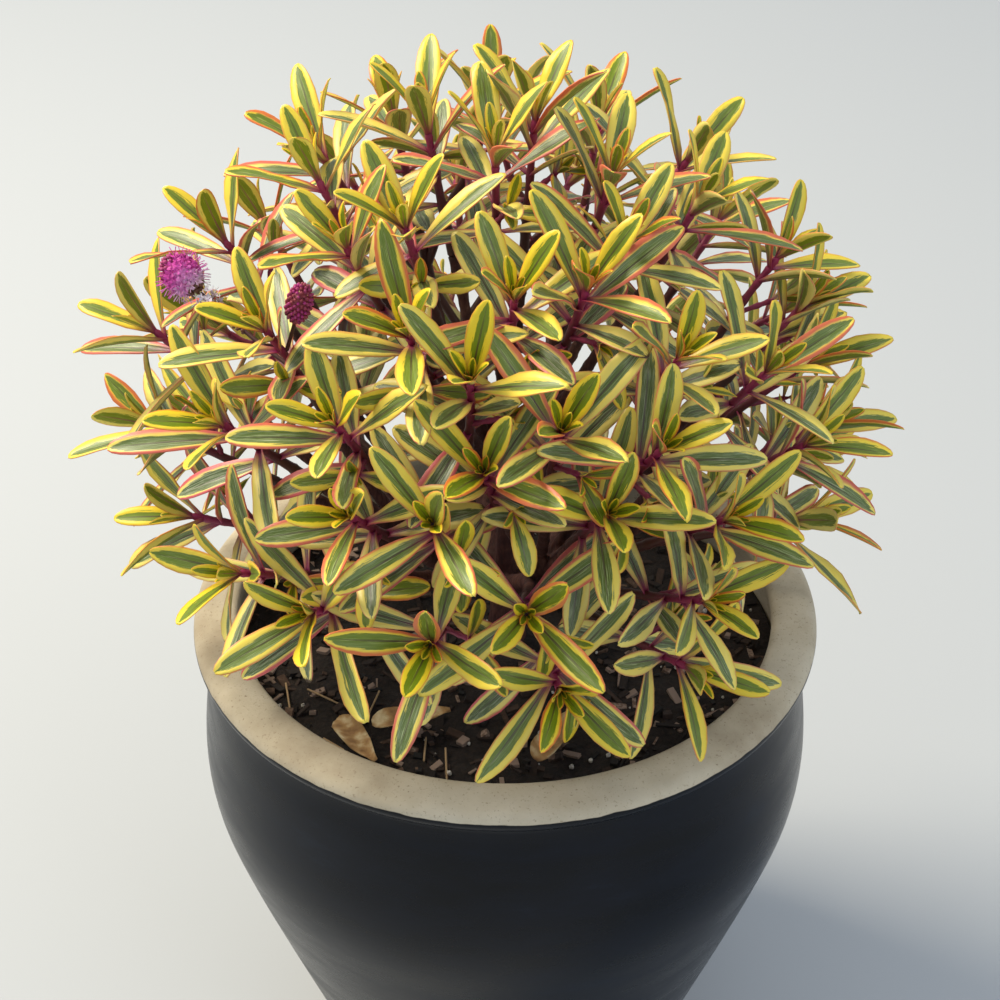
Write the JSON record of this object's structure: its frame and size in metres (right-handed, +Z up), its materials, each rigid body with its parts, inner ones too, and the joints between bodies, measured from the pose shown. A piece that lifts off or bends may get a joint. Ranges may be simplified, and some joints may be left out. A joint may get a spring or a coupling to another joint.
{
  "type": "potted hebe",
  "caption": "round evergreen shrub with narrow variegated leaves in crossed pairs and a purple flower raceme, growing in a dark glazed pot with a wide bare rim",
  "frame": {"origin": "middle of the pot's foot, where it rests on the surface", "axes": "+Z is up, along the pot's axis; -Y is the front, with the flower raceme to the left; +X is to the right seen from the front"},
  "size_m": [0.4292, 0.4265, 0.6167],
  "materials": {
    "pot": "dark navy stoneware glaze, satin; the rim is bare beige clay",
    "potting_mix": "loose dark bark and peat with specks of perlite",
    "woody_frame": "maroon-brown old wood with leaf scars",
    "leafy_shoot": "smooth waxy leaves, grey-green in the middle with yellow margins",
    "flower_raceme": "soft magenta-purple florets",
    "bud_raceme": "tight maroon-pink buds",
    "fallen_leaf": "dry tan leaf"
  },
  "bodies": {
    "root": {"pot": "pot", "potting_mix": "potting_mix", "woody_frame": "woody_frame", "flower_raceme": "flower_raceme", "bud_raceme": "bud_raceme", "fallen_leaf_1": "fallen_leaf", "fallen_leaf_2": "fallen_leaf", "fallen_leaf_3": "fallen_leaf", "leafy_shoot_01": "leafy_shoot", "leafy_shoot_02": "leafy_shoot", "leafy_shoot_03": "leafy_shoot", "leafy_shoot_04": "leafy_shoot", "leafy_shoot_05": "leafy_shoot", "leafy_shoot_06": "leafy_shoot", "leafy_shoot_07": "leafy_shoot", "leafy_shoot_08": "leafy_shoot", "leafy_shoot_09": "leafy_shoot", "leafy_shoot_10": "leafy_shoot", "leafy_shoot_11": "leafy_shoot", "leafy_shoot_12": "leafy_shoot", "leafy_shoot_13": "leafy_shoot", "leafy_shoot_14": "leafy_shoot", "leafy_shoot_15": "leafy_shoot", "leafy_shoot_16": "leafy_shoot", "leafy_shoot_17": "leafy_shoot", "leafy_shoot_18": "leafy_shoot", "leafy_shoot_19": "leafy_shoot", "leafy_shoot_20": "leafy_shoot", "leafy_shoot_21": "leafy_shoot", "leafy_shoot_22": "leafy_shoot", "leafy_shoot_23": "leafy_shoot", "leafy_shoot_24": "leafy_shoot", "leafy_shoot_25": "leafy_shoot", "leafy_shoot_26": "leafy_shoot", "leafy_shoot_27": "leafy_shoot", "leafy_shoot_28": "leafy_shoot", "leafy_shoot_29": "leafy_shoot", "leafy_shoot_30": "leafy_shoot", "leafy_shoot_31": "leafy_shoot", "leafy_shoot_32": "leafy_shoot", "leafy_shoot_33": "leafy_shoot", "leafy_shoot_34": "leafy_shoot", "leafy_shoot_35": "leafy_shoot", "leafy_shoot_36": "leafy_shoot", "leafy_shoot_37": "leafy_shoot", "leafy_shoot_38": "leafy_shoot", "leafy_shoot_39": "leafy_shoot", "leafy_shoot_40": "leafy_shoot", "leafy_shoot_41": "leafy_shoot", "leafy_shoot_42": "leafy_shoot", "forked_branch_01": "leafy_shoot", "forked_branch_02": "leafy_shoot", "forked_branch_03": "leafy_shoot", "forked_branch_04": "leafy_shoot", "forked_branch_05": "leafy_shoot", "forked_branch_06": "leafy_shoot", "forked_branch_07": "leafy_shoot", "forked_branch_08": "leafy_shoot"}
  },
  "joints": []
}
